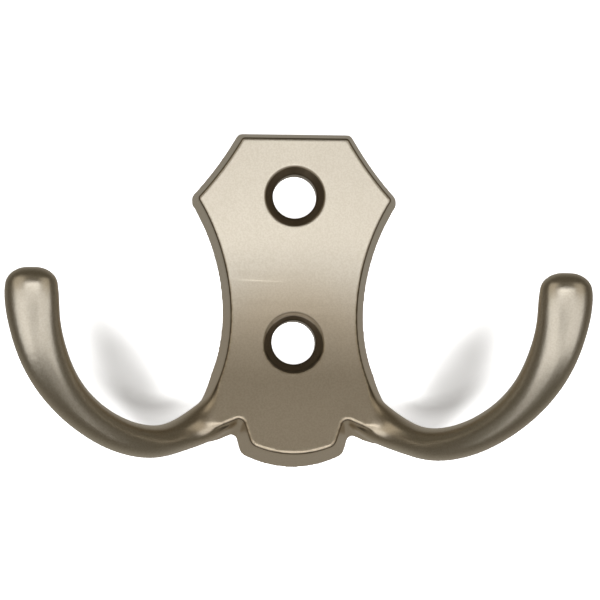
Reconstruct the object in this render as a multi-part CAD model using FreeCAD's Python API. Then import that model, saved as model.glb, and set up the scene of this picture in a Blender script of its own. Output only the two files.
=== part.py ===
"""Double robe hook: one zinc casting with a waisted back plate, a bottom tab and two hooked arms.

Millimetres. X runs across the hook, Y into the wall and Z up.
The flat back lies on the plane y = 0 and the arms reach towards -Y.
The origin is midway between the two screw holes, on the back.
"""
import FreeCAD, Part
import math
import os

from FreeCAD import Vector

# Screw holes
hole_spacing = 18.0
bore_diameter = 5.4
sink_diameter = 7.3
sink_angle = 90.0
sink_edge_round = 0.2

hole_heights = (hole_spacing / 2, -hole_spacing / 2)

# Plate thickness. The face is parallel to the wall above a height, then sweeps forward to a lean
plate_thickness = 4.4
sweep_height = 3.6
sweep_radius = 104.0
lean_angle = 9.5

# Plate outline on the back plane, right half
draft_angle = 11.5
top_height = 17.05
top_half_width = 7.0
shoulder_half_width = 13.05
shoulder_height = 8.75
slope_radius = 42.0
waist_half_width = 8.75
waist_height = -4.7
neck_half_width = 9.75
neck_height = -12.0
root_half_width = 13.4
root_height = -18.1
wing_half_width = 11.2
wing_bevel = 1.0

# Bottom tab and the notch beside it
notch_half_width = 7.05
notch_height = -20.1
underside_angle = 24.0
tab_side_angle = 16.0
tab_bottom = -24.25
tab_bottom_radius = 13.0

# Rounded edges
shoulder_round = 1.35
top_corner_round = 0.9
sharp_round = 0.5
notch_round = 0.7
tab_corner_round = 1.4
face_edge_round = 0.3

# Arms: their overall sizes, and where the right one starts inside the plate and leaves it
arm_span = 68.2
arm_projection = 28.75
arm_low_height = -21.4
arm_end_height = -3.9
arm_start_offset = 7.5
arm_start_level = 3.2
arm_start_height = -16.6
arm_root_offset = 11.0
arm_root_level = 3.5
arm_root_height = -19.05

# Arm section: width seen from the front and depth. It is squarer at the root than further out
root_width = 4.7
slim_width = 3.95
tip_width = 6.2
start_depth = 5.8
root_depth = 6.4
tip_depth = 4.3
root_squareness = 3.1
squareness = 2.4

# Places along the arm after its root: share of the run across, of the run forwards,
# of the rise from the lowest place, and of the widening from the slim part to the tip
arm_places = [(0.14, 0.065, 0.05, 0.03),
              (0.295, 0.186, 0.0, 0.0),
              (0.52, 0.39, 0.05, 0.09),
              (0.765, 0.628, 0.246, 0.265),
              (0.935, 0.861, 0.566, 0.735),
              (1.0, 1.0, 1.0, 1.0)]
square_places = 3

# Rounded tip: its length, and the turn from the arm's side to each of its rings
tip_length = 2.3
tip_ring_angles = (22, 42, 60, 76)
tip_width_power = 0.85
rings_per_stretch = 2
ring_points = 16
overlap_points = ring_points // 4


def face_level(z):
    """How far the front face stands off the wall at a height."""
    lean = math.radians(lean_angle)
    below = max(0.0, sweep_height - z)
    swept = min(below, sweep_radius * math.sin(lean))
    rise = sweep_radius - math.sqrt(sweep_radius ** 2 - swept ** 2)
    return plate_thickness + rise + (below - swept) * math.tan(lean)


# The drafted walls are drawn from the back to this level, which is in front of the whole face
margin = 1.0
wall_level = face_level(tab_bottom) + margin
wall_inset = wall_level * math.tan(math.radians(draft_angle))
wall_points = 9

# A surface of the front face turns sideways by less than the first and faces forwards by more than the second
front_turn = 0.001
front_facing = 0.95

# How far the cutting shapes reach past the walls, and how far the tab reaches up into the plate
overrun = 9.0
beyond = 12.0
tab_overlap = 1.5
tab_reach = 7.0


def on_back(x, z):
    return Vector(x, 0, z)


def mirrored(shape):
    return shape.mirror(Vector(0, 0, 0), Vector(1, 0, 0))


def hollow_arc(a, b, radius):
    """Arc in the XZ plane from a to b, bowed to the left of the run."""
    chord = b - a
    sagitta = radius - math.sqrt(radius ** 2 - (chord.Length / 2) ** 2)
    left = Vector(-chord.z, 0, chord.x).normalize()
    return Part.Arc(a, (a + b) * 0.5 + left * sagitta, b).toShape()


def wall_profile(edge, inset, level, away):
    """Closed outline of what lies to the right of the edge, with the edge moved left by the inset."""
    first, last = edge.ParameterRange
    points = []
    for i in range(wall_points):
        u = first + (last - first) * i / (wall_points - 1)
        along = edge.tangentAt(u)
        points.append(edge.valueAt(u) + Vector(-along.z, 0, along.x) * inset + Vector(0, -level, 0))
    side = Part.BSplineCurve()
    side.interpolate(points)
    before = points[0] - edge.tangentAt(first) * overrun
    after = points[-1] + edge.tangentAt(last) * overrun
    return Part.Wire([Part.makeLine(before, points[0]),
                      side.toShape(),
                      Part.makeLine(points[-1], after),
                      Part.makeLine(after, after + away),
                      Part.makeLine(after + away, before + away),
                      Part.makeLine(before + away, before)])


def wall_cutter(edge, away):
    """Solid outside one drafted wall. The plate lies on the left of the edge's run."""
    return Part.makeLoft([wall_profile(edge, 0.0, 0.0, away),
                          wall_profile(edge, wall_inset, wall_level, away)], True, True)


def straight_cutter(a, b, away):
    """Solid outside one flat drafted wall, which ends exactly at a and b."""
    run = (b - a).normalize()
    shift = Vector(-run.z, 0, run.x) * wall_inset + Vector(0, -wall_level, 0)
    sections = [Part.makePolygon([p, q, q + away, p + away, p]) for p, q in ((a, b), (a + shift, b + shift))]
    return Part.makeLoft(sections, True, True)


def slab(half_width, low, high):
    """Blank that reaches from the wall to the deepest level."""
    return Part.makeBox(2 * half_width, wall_level, high - low, Vector(-half_width, -wall_level, low))


def plate_body():
    """Waisted plate with its sharp corners, drafted all round."""
    root = on_back(root_half_width, root_height)
    shoulder = on_back(shoulder_half_width, shoulder_height)
    top_corner = on_back(top_half_width, top_height)
    flank_curve = Part.BSplineCurve()
    flank_curve.interpolate([root,
                             on_back(neck_half_width, neck_height),
                             on_back(waist_half_width, waist_height),
                             shoulder])
    fall = math.tan(math.radians(underside_angle))
    start = on_back(-tab_overlap, notch_height + (notch_half_width + tab_overlap) * fall)
    far = root_half_width + beyond
    end = on_back(far, start.z - (far - start.x) * fall)
    right_cutters = [wall_cutter(flank_curve.toShape(), Vector(beyond, 0, 0)),
                     wall_cutter(hollow_arc(shoulder, top_corner, slope_radius), Vector(beyond, 0, beyond)),
                     straight_cutter(start, end, Vector(0, 0, -beyond))]
    body = slab(shoulder_half_width, notch_height - shoulder_half_width * fall, top_height + beyond)
    for cutter in right_cutters:
        body = body.cut(cutter).cut(mirrored(cutter))
    above = Vector(0, 0, 2 * beyond)
    return body.cut(straight_cutter(on_back(far, top_height), on_back(-far, top_height), above))


def tab_body():
    """Tab below the plate, with tapered sides and a bowed bottom."""
    taper = math.tan(math.radians(tab_side_angle))
    high = notch_height + tab_reach
    low = tab_bottom - beyond
    rise = tab_bottom_radius - math.sqrt(tab_bottom_radius ** 2 - notch_half_width ** 2)
    bottom = Part.Arc(on_back(-notch_half_width, tab_bottom + rise),
                      on_back(0, tab_bottom),
                      on_back(notch_half_width, tab_bottom + rise)).toShape()
    top = high + beyond
    side_cutter = straight_cutter(on_back(notch_half_width - (notch_height - low) * taper, low),
                                  on_back(notch_half_width + (top - notch_height) * taper, top),
                                  Vector(beyond, 0, 0))
    body = slab(notch_half_width + tab_reach * taper, tab_bottom - margin, high)
    body = body.cut(side_cutter).cut(mirrored(side_cutter))
    return body.cut(wall_cutter(bottom, Vector(0, 0, -beyond)))


def face_block():
    """Everything between the wall and the front face, wider than the plate."""
    high = top_height + margin
    low = tab_bottom - margin
    sweep_run = sweep_radius * math.sin(math.radians(lean_angle))
    heights = (sweep_height, sweep_height - sweep_run / 2, sweep_height - sweep_run, low)
    start, middle, end, foot = [Vector(0, -face_level(z), z) for z in heights]
    back_foot = Vector(0, 0, low)
    back_head = Vector(0, 0, high)
    corners = [end, foot, back_foot, back_head, Vector(0, -plate_thickness, high), start]
    edges = [Part.makeLine(a, b) for a, b in zip(corners[:-1], corners[1:])]
    edges.append(Part.Arc(start, middle, end).toShape())
    width = 2 * (shoulder_half_width + beyond)
    block = Part.Face(Part.Wire(edges)).extrude(Vector(width, 0, 0))
    block.translate(Vector(-width / 2, 0, 0))
    return block


def round_corners(shape, x, z, back_radius, front_radius):
    """Round the drafted edges that leave the back plane near a place, on both sides."""
    for side in (1, -1):
        place = on_back(side * x, z)
        best = None
        for edge in shape.Edges:
            first, last = edge.ParameterRange
            ends = (edge.valueAt(first), edge.valueAt(last))
            back, front = sorted(ends, key=lambda p: -p.y)
            if back.y < -face_edge_round or front.y > -plate_thickness / 2:
                continue
            gap = back.distanceToPoint(place)
            if best is None or gap < best[0]:
                best = (gap, edge, ends[0].y > ends[1].y)
        gap, edge, starts_at_back = best
        radii = (back_radius, front_radius) if starts_at_back else (front_radius, back_radius)
        shape = shape.makeFillet(radii[0], radii[1], [edge])
    return shape


def face_edges(shape):
    """Edges round the front face, without the seams inside it."""
    fronts = [face for face in shape.Faces if is_front(face)]
    found = []
    for edge in shape.Edges:
        owners = [face for face in fronts if any(edge.isSame(other) for other in face.Edges)]
        if len(owners) == 1:
            found.append(edge)
    return found


def is_front(face):
    """True for each surface of the front face, which may lean but never turns to a side."""
    u0, u1, v0, v1 = face.ParameterRange
    normal = face.normalAt((u0 + u1) / 2, (v0 + v1) / 2)
    return abs(normal.x) < front_turn and -normal.y > front_facing


def arm_ring(centre, along, size):
    """Ring of points round the arm, an ellipse squared a little, which runs on past both its ends.

    The size is the half width, the half depth and the squareness.
    """
    across = Vector(-along.z, 0, along.x).normalize()
    deep = along.cross(across).normalize()
    power = 2.0 / size.z
    ring = []
    for i in range(ring_points):
        angle = 2 * math.pi * i / ring_points
        c, s = math.cos(angle), math.sin(angle)
        ring.append(centre + deep * (size.y * math.copysign(abs(c) ** power, c))
                    + across * (size.x * math.copysign(abs(s) ** power, s)))
    return ring[-overlap_points:] + ring + ring[:overlap_points + 1]


def spline_through(values):
    """Smooth curve that reaches each value at its own index."""
    curve = Part.BSplineCurve()
    curve.interpolate(values, Parameters=[float(i) for i in range(len(values))])
    return curve


def arm_path():
    """Centre line of the right arm, from inside the plate to the start of its tip."""
    root = Vector(arm_root_offset, -arm_root_level, arm_root_height)
    end = Vector((arm_span - tip_width) / 2, -(arm_projection - tip_depth / 2), arm_end_height)
    points = [Vector(arm_start_offset, -arm_start_level, arm_start_height), root]
    for across, forward, rise, flare in arm_places:
        points.append(Vector(root.x + (end.x - root.x) * across,
                             root.y + (end.y - root.y) * forward,
                             arm_low_height + (arm_end_height - arm_low_height) * rise))
    return spline_through(points)


def arm_section():
    """Half width, half depth and squareness of the arm at the places of its path."""
    sections = [Vector(root_width / 2, start_depth / 2, root_squareness),
                Vector(root_width / 2, root_depth / 2, root_squareness)]
    for i, (across, forward, rise, flare) in enumerate(arm_places, 1):
        fade = max(0.0, 1 - i / square_places)
        sections.append(Vector((slim_width + (tip_width - slim_width) * flare) / 2,
                               (root_depth + (tip_depth - root_depth) * i / len(arm_places)) / 2,
                               squareness + (root_squareness - squareness) * fade))
    return spline_through(sections)


def arm():
    """Right arm: one smooth skin along the path, with a rounded tip that ends in a small flat."""
    path = arm_path()
    section = arm_section()
    rings = []
    for i in range(int(path.LastParameter) * rings_per_stretch + 1):
        u = i / rings_per_stretch
        along = Vector(*path.tangent(u)[0])
        rings.append(arm_ring(path.value(u), along, section.value(u)))
    end = path.value(path.LastParameter)
    for angle in tip_ring_angles:
        turn = math.radians(angle)
        shrink = math.cos(turn) ** tip_width_power
        size = Vector(tip_width / 2 * shrink, tip_depth / 2 * shrink, squareness)
        rings.append(arm_ring(end + along * (tip_length * math.sin(turn)), along, size))
    surface = Part.BSplineSurface()
    surface.interpolate(rings)
    first, last = surface.bounds()[:2]
    knots = surface.getVKnots()
    surface.segment(first, last, knots[overlap_points], knots[overlap_points + ring_points])
    skin = surface.toShape()
    caps = [Part.Face(Part.Wire([edge])) for edge in skin.Edges if edge.isClosed()]
    closed = Part.makeCompound([skin] + caps)
    closed.sewShape()
    return Part.makeSolid(closed.Shells[0])


def screw_hole(z):
    """Tool for one countersunk hole through the plate."""
    into_wall = Vector(0, 1, 0)
    face_y = -face_level(z)
    depth = (sink_diameter - bore_diameter) / 2 / math.tan(math.radians(sink_angle / 2))
    bore_start = Vector(0, -wall_level - margin, z)
    bore = Part.makeCylinder(bore_diameter / 2, wall_level + 2 * margin, bore_start, into_wall)
    sink = Part.makeCone(sink_diameter / 2, bore_diameter / 2, depth, Vector(0, face_y, z), into_wall)
    mouth = Part.makeCylinder(sink_diameter / 2, wall_level, Vector(0, face_y - wall_level, z), into_wall)
    return bore.fuse([sink, mouth]).removeSplitter()


def mouth_edges(shape):
    """Edges where the two countersinks meet the front face."""
    found = []
    for edge in face_edges(shape):
        first, last = edge.ParameterRange
        place = edge.valueAt((first + last) / 2)
        if min(math.hypot(place.x, place.z - z) for z in hole_heights) < sink_diameter / 2 + margin:
            found.append(edge)
    return found


def outline_edges(shape):
    """Edges round the front face, up to the ends of the wings inside the arms."""
    found = []
    for edge in face_edges(shape):
        first, last = edge.ParameterRange
        place = edge.valueAt((first + last) / 2)
        if place.z > neck_height or abs(place.x) < wing_half_width + margin:
            found.append(edge)
    return found


def trimmed_wings(shape):
    """Cut the wings off where the arms take over, with their back corners bevelled."""
    far = wing_half_width + beyond
    profile = [Vector(wing_half_width - wing_bevel, 0, tab_bottom),
               Vector(wing_half_width, -wing_bevel, tab_bottom),
               Vector(wing_half_width, -wall_level, tab_bottom),
               Vector(far, -wall_level, tab_bottom),
               Vector(far, 0, tab_bottom)]
    face = Part.Face(Part.makePolygon(profile + profile[:1]))
    trim = face.extrude(Vector(0, 0, neck_height - tab_bottom))
    return shape.cut(trim).cut(mirrored(trim))


def plate():
    """Finished plate: walls, tab, rounded edges and screw holes."""
    body = plate_body().fuse(tab_body()).common(face_block()).removeSplitter()
    body = round_corners(body, shoulder_half_width, shoulder_height, shoulder_round, sharp_round)
    body = round_corners(body, top_half_width, top_height, top_corner_round, sharp_round)
    body = round_corners(body, notch_half_width, notch_height, notch_round, notch_round)
    body = round_corners(body, notch_half_width, tab_bottom, tab_corner_round, tab_corner_round)
    body = body.makeFillet(face_edge_round, outline_edges(body))
    body = trimmed_wings(body)
    for z in hole_heights:
        body = body.cut(screw_hole(z))
    return body.makeFillet(sink_edge_round, mouth_edges(body))


right_arm = arm()
hook = plate().fuse([right_arm, mirrored(right_arm)])
print("solids", len(hook.Solids), "valid", hook.isValid(), "volume", round(hook.Volume, 1))

os.makedirs("parts", exist_ok=True)
hook.exportStep("parts/double_hook.step")
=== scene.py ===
"""Double robe hook in satin nickel, seen from the front against a white wall."""
import math

import bpy
import numpy as np
from mathutils import Matrix, Vector

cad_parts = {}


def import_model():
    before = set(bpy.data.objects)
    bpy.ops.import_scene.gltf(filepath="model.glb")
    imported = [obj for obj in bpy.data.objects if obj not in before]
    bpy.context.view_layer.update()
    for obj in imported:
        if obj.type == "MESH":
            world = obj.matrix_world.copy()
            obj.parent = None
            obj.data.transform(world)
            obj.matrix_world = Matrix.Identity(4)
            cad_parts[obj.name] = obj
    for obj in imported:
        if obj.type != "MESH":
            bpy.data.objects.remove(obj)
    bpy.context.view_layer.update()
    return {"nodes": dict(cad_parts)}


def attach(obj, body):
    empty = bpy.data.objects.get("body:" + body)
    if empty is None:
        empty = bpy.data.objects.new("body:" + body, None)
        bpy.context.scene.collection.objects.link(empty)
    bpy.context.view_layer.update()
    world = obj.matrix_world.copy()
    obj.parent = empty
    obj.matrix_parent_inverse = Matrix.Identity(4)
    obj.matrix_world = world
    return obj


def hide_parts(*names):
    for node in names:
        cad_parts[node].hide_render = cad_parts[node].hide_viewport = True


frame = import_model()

MM = 0.001

# Camera: place, what it looks at, turn about its own axis, lens and nearest distance it sees
CAMERA_PLACE = Vector((-11.3, -409.1, -27.9)) * MM
CAMERA_TARGET = Vector((0.57, -10.0, -4.14)) * MM
CAMERA_ROLL = math.radians(0.55)
CAMERA_LENS = 198.5
CAMERA_NEAR = 0.01

# Casting skin: even faces this long, smoothed a little all over and more where the arms leave the plate
SKIN_EDGE = 0.14 * MM
SKIN_TRIANGLES = 190000
FAIRING_STEPS = (0.5, -0.53)
FAIRING_PASSES = 12
ROOT_STEP = 0.5
ROOT_PASSES = 160
ROOT_SPAN = (8.6 * MM, 11.6 * MM, 14.0 * MM, 17.0 * MM)
ROOT_TOP = (-15.5 * MM, -12.5 * MM)

# Stage
WALL_GAP = 0.3 * MM
WALL_SIZE = 0.30
FLOOR_DROP = 0.09
FLOOR_SIZE = 3.0
STAGE_GREY = 0.8
ROOM_DARK = (0.10, 0.086, 0.062)
ROOM_PALE = (0.36, 0.335, 0.29)

# Wall patch inside each arm that keeps its shadow: place, half length and width, tilt, unfaded share
SHADOW_PLACE = (20.3 * MM, -11.8 * MM)
SHADOW_SIZE = (13.5 * MM, 7.8 * MM)
SHADOW_TILT = math.radians(49.7)
SHADOW_CORE = 0.15

# Lamps
LAMP_DISTANCE = 1.2
WARM = (1.0, 0.91, 0.76)
FRONT_GLOW = 27.0
SHADOW_GLOW = 65.0

# Colours, linear
NICKEL = (0.645, 0.59, 0.495)
PALE_NICKEL = (0.695, 0.645, 0.555)
# Painted shade: browner, darker tint multiplied over the lower part of the plate
LOW_SHADE_TINT = (0.95, 0.89, 0.81)
STAIN = (0.22, 0.18, 0.13)
# Painted shade: dark line on the face's rounded edge
EDGE_SHADE = (0.25, 0.21, 0.16)

# Finish: clouds of uneven polish, speckle in the colour and grain in the surface
CLOUD_SCALE = 90.0
CLOUD_DETAIL = 3.0
CLOUD_TONE = 0.96
ROUGHNESS = (0.29, 0.33)
SPECKLE_SCALE = 4600.0
SPECKLE_RANGE = (0.3, 0.7)
GRAIN_SCALE = 5200.0
GRAIN_STRENGTH = 0.06
GRAIN_HEIGHT = 0.05 * MM
FINE_DETAIL = 2.0

# Dark stain inside the screw holes
HOLE_HEIGHT = 9.0 * MM
STAIN_RADIUS = 3.85 * MM
STAIN_FADE = 0.2 * MM
STAIN_DEPTH = 1.0 * MM

# Painted shade: browner, darker tone over the lower part of the plate
LOW_SHADE_HEIGHT = -15.0 * MM
LOW_SHADE_REACH = (9.0 * MM, 17.0 * MM)

# Painted shade line on the face's rounded edge: how squarely it faces the front, its reach and how that
# slopes
EDGE_FACING = (0.50, 0.60, 0.93, 0.978)
EDGE_SPAN = (13.0 * MM, 14.5 * MM)
EDGE_SLOPE = 0.25


def new_material(name):
    """A node material with its tree emptied."""
    material = bpy.data.materials.new(name)
    material.use_nodes = True
    material.node_tree.nodes.clear()
    return material, material.node_tree


def step(tree, value, start, end):
    """0 before start, 1 after end and smooth between, as a node output. Start may be the larger."""
    node = tree.nodes.new("ShaderNodeMapRange")
    node.interpolation_type = "SMOOTHSTEP"
    node.inputs["From Min"].default_value = start
    node.inputs["From Max"].default_value = end
    tree.links.new(value, node.inputs["Value"])
    return node.outputs["Result"]


def times(tree, first, second):
    """Product of two node outputs."""
    node = tree.nodes.new("ShaderNodeMath")
    node.operation = "MULTIPLY"
    tree.links.new(first, node.inputs[0])
    tree.links.new(second, node.inputs[1])
    return node.outputs["Value"]


def distance_from(tree, place, x, z):
    """Distance from the point at x and z, as seen from the front."""
    moved = tree.nodes.new("ShaderNodeVectorMath")
    moved.operation = "SUBTRACT"
    moved.inputs[1].default_value = (x, 0, z)
    tree.links.new(place, moved.inputs[0])
    flat = tree.nodes.new("ShaderNodeVectorMath")
    flat.operation = "MULTIPLY"
    flat.inputs[1].default_value = (1, 0, 1)
    tree.links.new(moved.outputs["Vector"], flat.inputs[0])
    radius = tree.nodes.new("ShaderNodeVectorMath")
    radius.operation = "LENGTH"
    tree.links.new(flat.outputs["Vector"], radius.inputs[0])
    return radius.outputs["Value"]


def along(tree, vector, axis):
    """How far a vector reaches along an axis, as a node output."""
    node = tree.nodes.new("ShaderNodeVectorMath")
    node.operation = "DOT_PRODUCT"
    node.inputs[1].default_value = axis
    tree.links.new(vector, node.inputs[0])
    return node.outputs["Value"]


def folded(tree, place):
    """The place with all its coordinates made positive."""
    node = tree.nodes.new("ShaderNodeVectorMath")
    node.operation = "ABSOLUTE"
    tree.links.new(place, node.inputs[0])
    return node.outputs["Vector"]


def mixed(tree, share, first, second, blend="MIX"):
    """Colour between two, each a colour or a node output."""
    node = tree.nodes.new("ShaderNodeMix")
    node.data_type = "RGBA"
    node.blend_type = blend
    tree.links.new(share, node.inputs["Factor"])
    for socket, colour in (("A", first), ("B", second)):
        if isinstance(colour, tuple):
            node.inputs[socket].default_value = (*colour, 1)
        else:
            tree.links.new(colour, node.inputs[socket])
    return node.outputs["Result"]


def noise(tree, place, scale, detail):
    """Strength of a noise, as a node output."""
    node = tree.nodes.new("ShaderNodeTexNoise")
    node.inputs["Scale"].default_value = scale
    node.inputs["Detail"].default_value = detail
    tree.links.new(place, node.inputs["Vector"])
    return node.outputs["Fac"]


def edge_line(tree, place):
    """1 on the rounded edge round the plate's face, where shade is painted, fading out down the wings, and 0
    elsewhere.
    """
    normal = tree.nodes.new("ShaderNodeNewGeometry")
    towards = along(tree, normal.outputs["Normal"], (0, -1, 0))
    reach = tree.nodes.new("ShaderNodeMath")
    reach.operation = "SUBTRACT"
    tree.links.new(along(tree, folded(tree, place), (1, 0, 0)), reach.inputs[0])
    tree.links.new(along(tree, place, (0, 0, EDGE_SLOPE)), reach.inputs[1])
    line = times(tree, step(tree, towards, EDGE_FACING[0], EDGE_FACING[1]),
                 step(tree, towards, EDGE_FACING[3], EDGE_FACING[2]))
    return times(tree, line, step(tree, reach.outputs["Value"], EDGE_SPAN[1], EDGE_SPAN[0]))


def satin_nickel():
    """Nickel plating with uneven polish, speckle, grain and stained holes; painted shade low down and on the
    edge.
    """
    material, tree = new_material("satin_nickel")
    nodes, link = tree.nodes, tree.links.new
    out = nodes.new("ShaderNodeOutputMaterial")
    shader = nodes.new("ShaderNodeBsdfPrincipled")
    shader.inputs["Metallic"].default_value = 1.0
    place = nodes.new("ShaderNodeTexCoord")

    where = place.outputs["Object"]
    cloud = noise(tree, where, CLOUD_SCALE, CLOUD_DETAIL)
    tone = mixed(tree, cloud, tuple(channel * CLOUD_TONE for channel in NICKEL), NICKEL)
    speckle = step(tree, noise(tree, where, SPECKLE_SCALE, FINE_DETAIL), SPECKLE_RANGE[0], SPECKLE_RANGE[1])
    tone = mixed(tree, speckle, tone, PALE_NICKEL)
    # Painted shade: the lower part of the plate made browner and darker
    from_bottom = distance_from(tree, where, 0, LOW_SHADE_HEIGHT)
    low_shade = step(tree, from_bottom, LOW_SHADE_REACH[1], LOW_SHADE_REACH[0])
    tone = mixed(tree, low_shade, tone, LOW_SHADE_TINT, blend="MULTIPLY")
    near_hole = distance_from(tree, folded(tree, where), 0, HOLE_HEIGHT)
    in_hole = times(tree, step(tree, near_hole, STAIN_RADIUS, STAIN_RADIUS - STAIN_FADE),
                    step(tree, along(tree, where, (0, -1, 0)), 0, STAIN_DEPTH))
    tone = mixed(tree, in_hole, tone, STAIN)
    # Painted shade: dark line where the rounded edge turns away from the front
    tone = mixed(tree, edge_line(tree, where), tone, EDGE_SHADE)
    link(tone, shader.inputs["Base Color"])

    gloss = nodes.new("ShaderNodeMapRange")
    gloss.inputs["To Min"].default_value = ROUGHNESS[0]
    gloss.inputs["To Max"].default_value = ROUGHNESS[1]
    link(cloud, gloss.inputs["Value"])
    link(gloss.outputs["Result"], shader.inputs["Roughness"])

    bump = nodes.new("ShaderNodeBump")
    bump.inputs["Strength"].default_value = GRAIN_STRENGTH
    bump.inputs["Distance"].default_value = GRAIN_HEIGHT
    link(noise(tree, where, GRAIN_SCALE, FINE_DETAIL), bump.inputs["Height"])
    link(bump.outputs["Normal"], shader.inputs["Normal"])
    link(shader.outputs["BSDF"], out.inputs["Surface"])
    return material


def outside_shadow(tree, side):
    """0 within the long patch where one arm's shadow falls and 1 outside it. Side is -1 or 1."""
    place = tree.nodes.new("ShaderNodeTexCoord")
    turned = tree.nodes.new("ShaderNodeMapping")
    turned.vector_type = "TEXTURE"
    turned.inputs["Location"].default_value = (side * SHADOW_PLACE[0], 0, SHADOW_PLACE[1])
    turned.inputs["Rotation"].default_value = (0, -side * SHADOW_TILT, 0)
    turned.inputs["Scale"].default_value = (SHADOW_SIZE[0], 1, SHADOW_SIZE[1])
    tree.links.new(place.outputs["Object"], turned.inputs["Vector"])
    apart = tree.nodes.new("ShaderNodeVectorMath")
    apart.operation = "LENGTH"
    tree.links.new(turned.outputs["Vector"], apart.inputs[0])
    return step(tree, apart.outputs["Value"], SHADOW_CORE, 1.0)


def stage_material(name, colour, one_sided=False):
    """Matt stage surface. A one-sided one isn't seen from behind and glows but for the shadow patches."""
    material, tree = new_material(name)
    nodes, link = tree.nodes, tree.links.new
    out = nodes.new("ShaderNodeOutputMaterial")
    matt = nodes.new("ShaderNodeBsdfDiffuse")
    matt.inputs["Color"].default_value = (colour, colour, colour, 1)
    surface = matt.outputs["BSDF"]
    if one_sided:
        light = nodes.new("ShaderNodeEmission")
        link(times(tree, outside_shadow(tree, -1), outside_shadow(tree, 1)), light.inputs["Strength"])
        both = nodes.new("ShaderNodeAddShader")
        link(surface, both.inputs[0])
        link(light.outputs["Emission"], both.inputs[1])
        surface = both.outputs["Shader"]
        side = nodes.new("ShaderNodeNewGeometry")
        clear = nodes.new("ShaderNodeBsdfTransparent")
        choice = nodes.new("ShaderNodeMixShader")
        link(side.outputs["Backfacing"], choice.inputs["Fac"])
        link(surface, choice.inputs[1])
        link(clear.outputs["BSDF"], choice.inputs[2])
        surface = choice.outputs["Shader"]
    link(surface, out.inputs["Surface"])
    return material


def panel(name, centre, across, up, material):
    """Flat four-sided stage piece."""
    corners = [centre + across * a + up * b for a, b in ((-0.5, -0.5), (0.5, -0.5), (0.5, 0.5), (-0.5, 0.5))]
    mesh = bpy.data.meshes.new(name)
    mesh.from_pydata(corners, [], [(0, 1, 2, 3)])
    mesh.materials.append(material)
    piece = bpy.data.objects.new(name, mesh)
    bpy.context.collection.objects.link(piece)
    return piece


def look_from(piece, place, target, roll=0.0):
    """Aim a camera or lamp: its -Z runs to the target."""
    back = (place - target).normalized()
    right = Vector((0, 0, 1)).cross(back).normalized()
    up = back.cross(right)
    turn = Matrix((right, up, back)).transposed().to_4x4()
    piece.matrix_world = Matrix.Translation(place) @ turn @ Matrix.Rotation(roll, 4, "Z")


def direction(azimuth, elevation):
    """Unit vector from the hook. Azimuth 0 is straight in front and grows to the right, in degrees."""
    turn, lift = math.radians(azimuth), math.radians(elevation)
    return Vector((math.sin(turn) * math.cos(lift), -math.cos(turn) * math.cos(lift), math.sin(lift)))


def spread(low, high):
    """Length, at the lamps' distance, that covers the angles from low to high as seen from the hook."""
    return 2 * LAMP_DISTANCE * math.tan(math.radians(high - low) / 2)


def softbox(name, left, right, low, high, glow, glossy=True, colour=(1, 1, 1)):
    """Area lamp over these angles in front of the hook, in degrees. It lights either metal or wall."""
    lamp = bpy.data.lights.new(name, "AREA")
    lamp.shape = "RECTANGLE"
    lamp.size = spread(left, right)
    lamp.size_y = spread(low, high)
    lamp.energy = glow * math.pi * lamp.size * lamp.size_y
    lamp.color = colour
    holder = bpy.data.objects.new(name, lamp)
    bpy.context.collection.objects.link(holder)
    look_from(holder, direction((left + right) / 2, (low + high) / 2) * LAMP_DISTANCE, Vector((0, 0, 0)))
    holder.visible_glossy = glossy
    holder.visible_diffuse = not glossy


def world():
    """Dim room that grows paler towards the wall behind the hook."""
    scene_world = bpy.data.worlds.new("room")
    bpy.context.scene.world = scene_world
    scene_world.use_nodes = True
    nodes, link = scene_world.node_tree.nodes, scene_world.node_tree.links.new
    place = nodes.new("ShaderNodeTexCoord")
    parts = nodes.new("ShaderNodeSeparateXYZ")
    link(place.outputs["Generated"], parts.inputs["Vector"])
    shade = nodes.new("ShaderNodeMix")
    shade.data_type = "RGBA"
    shade.inputs["A"].default_value = (*ROOM_DARK, 1)
    shade.inputs["B"].default_value = (*ROOM_PALE, 1)
    link(parts.outputs["Y"], shade.inputs["Factor"])
    link(shade.outputs["Result"], nodes["Background"].inputs["Color"])


def stage():
    """Wall behind the hook and floor below it; the light and the reflections pass them by."""
    wall = panel("wall", Vector((0, WALL_GAP, 0)), Vector((WALL_SIZE, 0, 0)), Vector((0, 0, WALL_SIZE)),
                 stage_material("wall_white", STAGE_GREY, one_sided=True))
    floor = panel("floor", Vector((0, 0, -FLOOR_DROP)), Vector((FLOOR_SIZE, 0, 0)),
                  Vector((0, FLOOR_SIZE, 0)), stage_material("floor_pale", STAGE_GREY))
    for piece in (wall, floor):
        piece.visible_glossy = False
        piece.visible_diffuse = False
        piece.visible_shadow = False


def lights():
    """Soft boxes for the metal, with a gap above the camera, and three lamps that light the wall."""
    softbox("low_left_box", -50, -12, -60, -10, 1.0)
    softbox("low_middle_box", -12, 14, -24, -11, 0.85)
    softbox("under_box", -12, 14, -58, -24, 0.33)
    softbox("low_right_box", 14, 57, -54, -10, 0.85)
    softbox("centre_box", -13, 15, -8, 9.7, 1.87)
    softbox("high_left_box", -55, -19, -10, 45, 0.5, colour=WARM)
    softbox("high_right_box", 21, 55, -10, 40, 0.44, colour=WARM)
    softbox("front_lamp", -6, 2, -8, 0, FRONT_GLOW, glossy=False)
    softbox("left_lamp", -16, -6, -27, -17, SHADOW_GLOW, glossy=False)
    softbox("right_lamp", 6, 16, -27, -17, SHADOW_GLOW, glossy=False)


def camera():
    data = bpy.data.cameras.new("camera")
    data.lens = CAMERA_LENS
    data.clip_start = CAMERA_NEAR
    holder = bpy.data.objects.new("camera", data)
    bpy.context.collection.objects.link(holder)
    look_from(holder, CAMERA_PLACE, CAMERA_TARGET, CAMERA_ROLL)
    bpy.context.scene.camera = holder


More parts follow.
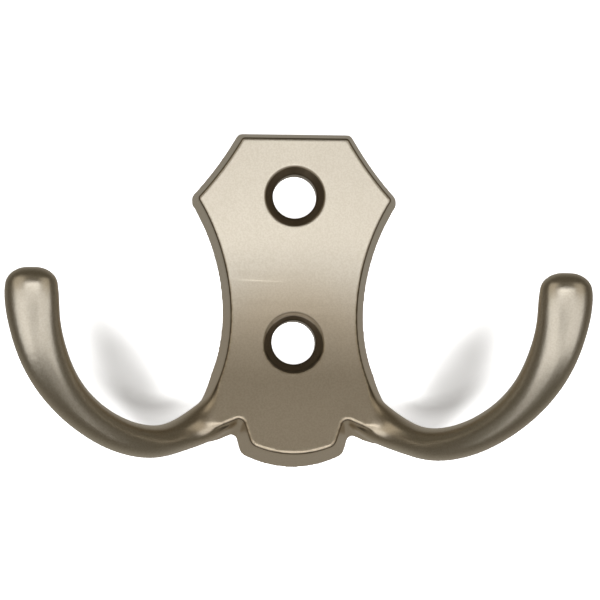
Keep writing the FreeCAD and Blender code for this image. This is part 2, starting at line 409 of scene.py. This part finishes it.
def ramp(values, start, end):
    """0 before start, 1 after end and smooth between. Start may be the larger."""
    share = np.clip((values - start) / (end - start), 0, 1)
    return share * share * (3 - 2 * share)


def neighbour_mean(places, edges, count):
    """Mean place of each vertex's neighbours."""
    total = np.empty_like(places)
    for axis in range(3):
        total[:, axis] = (np.bincount(edges[:, 0], places[edges[:, 1], axis], len(places))
                          + np.bincount(edges[:, 1], places[edges[:, 0], axis], len(places)))
    return total / count[:, None]


def faired(places, edges):
    """Places with facets and remeshing steps smoothed out, and the arm roots blended into the plate."""
    count = np.maximum(np.bincount(edges.ravel(), minlength=len(places)), 1)
    for amount in FAIRING_STEPS * FAIRING_PASSES:
        places = places + amount * (neighbour_mean(places, edges, count) - places)

    side = np.abs(places[:, 0])
    weight = (ramp(side, ROOT_SPAN[0], ROOT_SPAN[1]) * ramp(side, ROOT_SPAN[3], ROOT_SPAN[2])
              * ramp(places[:, 2], ROOT_TOP[1], ROOT_TOP[0]))
    near = (weight[edges] > 0).any(axis=1)
    used, local = np.unique(edges[near], return_inverse=True)
    local = local.reshape(-1, 2)
    part, share = places[used], weight[used][:, None] * ROOT_STEP
    count = np.maximum(np.bincount(local.ravel(), minlength=len(used)), 1)
    for _ in range(ROOT_PASSES):
        part = part + share * (neighbour_mean(part, local, count) - part)
    places[used] = part
    places[:, 1] = np.minimum(places[:, 1], 0)
    return places


def apply_modifiers(piece):
    """Replace the piece's mesh by what its modifiers make of it."""
    made = bpy.data.meshes.new_from_object(piece.evaluated_get(bpy.context.evaluated_depsgraph_get()))
    piece.modifiers.clear()
    piece.data = made


def casting(node, material):
    """The hook's visible skin: the CAD solid remeshed evenly, faired and thinned."""
    piece = bpy.data.objects.new("hook_casting", node.data.copy())
    bpy.context.collection.objects.link(piece)
    even = piece.modifiers.new("even", "REMESH")
    even.mode = "VOXEL"
    even.voxel_size = SKIN_EDGE
    apply_modifiers(piece)

    mesh = piece.data
    places = np.empty(len(mesh.vertices) * 3)
    mesh.vertices.foreach_get("co", places)
    edges = np.empty(len(mesh.edges) * 2, dtype=np.int32)
    mesh.edges.foreach_get("vertices", edges)
    mesh.vertices.foreach_set("co", faired(places.reshape(-1, 3), edges.reshape(-1, 2)).ravel())
    mesh.update()

    mesh.calc_loop_triangles()
    thin = piece.modifiers.new("thin", "DECIMATE")
    thin.ratio = min(1.0, SKIN_TRIANGLES / len(mesh.loop_triangles))
    apply_modifiers(piece)
    piece.data.shade_smooth()
    piece.data.materials.clear()
    piece.data.materials.append(material)
    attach(piece, "root")
    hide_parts(node.name)


nickel = satin_nickel()
casting(frame["nodes"]["double_hook"], nickel)

world()
stage()
lights()
camera()
bpy.context.scene.view_settings.view_transform = "Standard"
